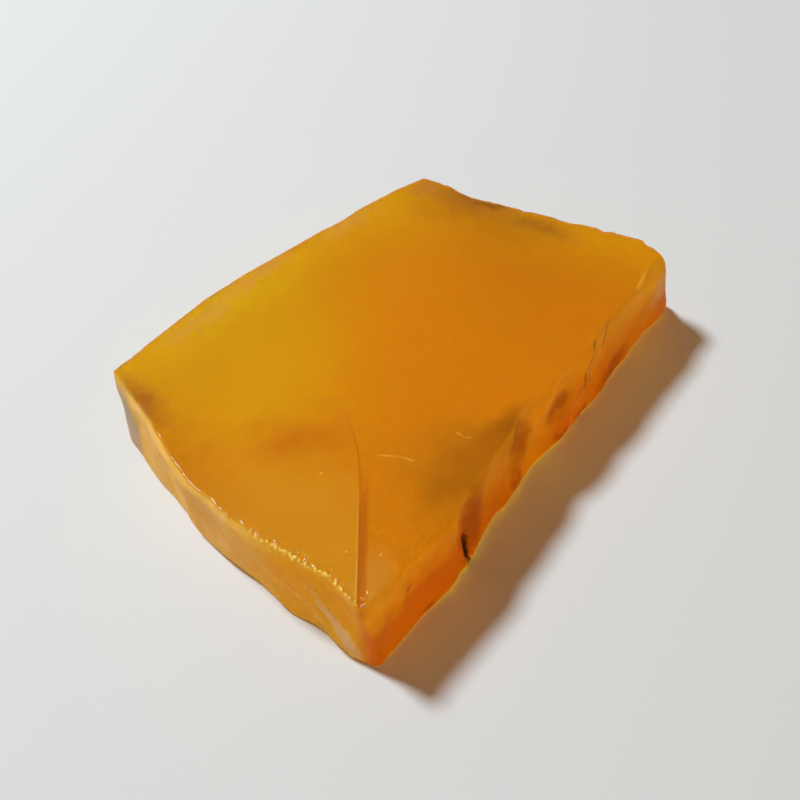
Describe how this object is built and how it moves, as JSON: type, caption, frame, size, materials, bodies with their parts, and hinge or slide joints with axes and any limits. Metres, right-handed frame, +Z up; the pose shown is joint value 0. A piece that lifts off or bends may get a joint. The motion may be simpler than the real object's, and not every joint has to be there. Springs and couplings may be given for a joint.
{
  "type": "rough sapphire",
  "caption": "Flat, four-sided slab of rough yellow-orange sapphire with two sawn faces and scalloped, broken walls.",
  "frame": {"origin": "middle of the outline, on the lower sawn face that the stone rests on", "axes": "+Z up through the thickness, +X towards the stone's blunt right-hand corner, +Y away from its pointed front corner"},
  "size_m": [0.0532, 0.0508, 0.009],
  "materials": {
    "stone": "satin sawn faces, waxy broken walls"
  },
  "bodies": {
    "root": {"stone": "stone"}
  },
  "joints": []
}
